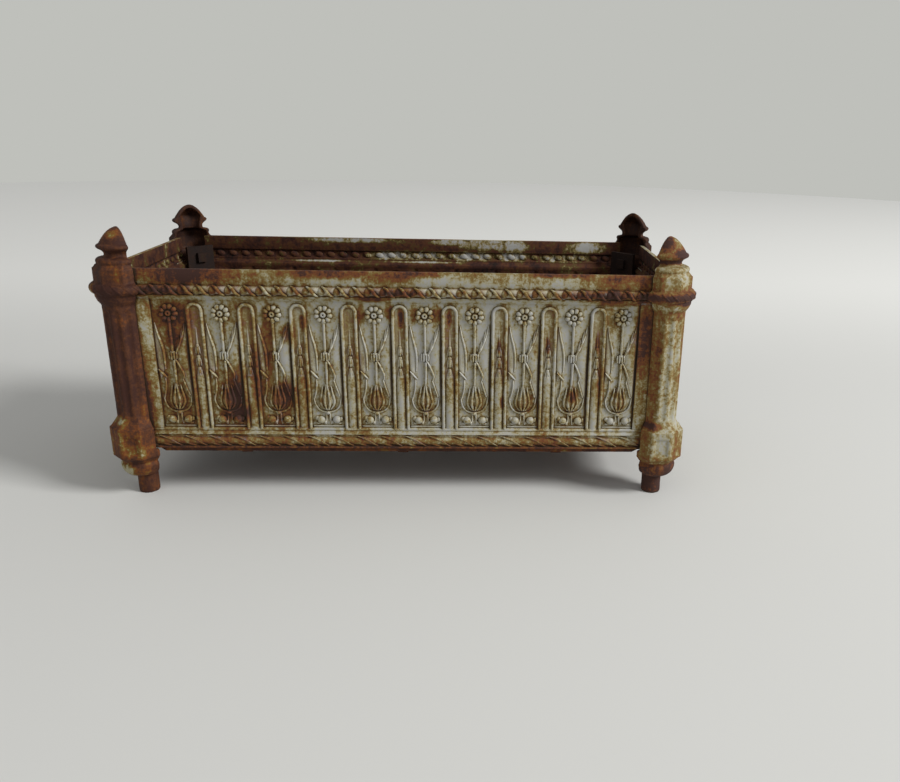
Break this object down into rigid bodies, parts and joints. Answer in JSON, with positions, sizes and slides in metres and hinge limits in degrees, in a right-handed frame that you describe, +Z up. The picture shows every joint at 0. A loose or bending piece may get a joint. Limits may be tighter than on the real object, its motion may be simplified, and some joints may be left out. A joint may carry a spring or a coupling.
{
  "type": "garden planter",
  "caption": "Rectangular cast-iron planter: arcaded relief panels between hollow fluted corner posts, drawn together by bolted corner straps over a drained floor plate.",
  "frame": {"origin": "on the floor under the middle of the planter", "axes": "+Z up, +X along the length to the right, the front seen in the picture faces -Y"},
  "size_m": [0.552, 0.246, 0.255],
  "materials": {
    "worn_paint": "pale grey paint, worn and stained ochre, rust showing through",
    "rusted_casting": "red-brown rust with traces of grey paint",
    "dark_iron": "dark rusted iron, dull"
  },
  "bodies": {
    "root": {"front_panel": "worn_paint", "back_panel": "worn_paint", "left_end_panel": "worn_paint", "right_end_panel": "worn_paint", "front_left_post": "rusted_casting", "front_right_post": "worn_paint", "back_left_post": "rusted_casting", "back_right_post": "rusted_casting", "front_left_strap": "dark_iron", "front_right_strap": "dark_iron", "back_left_strap": "dark_iron", "back_right_strap": "dark_iron", "strap_bolts": "dark_iron", "strap_nuts": "dark_iron", "floor_plate": "rusted_casting", "floor_bolts": "dark_iron", "floor_nuts": "dark_iron"}
  },
  "joints": []
}
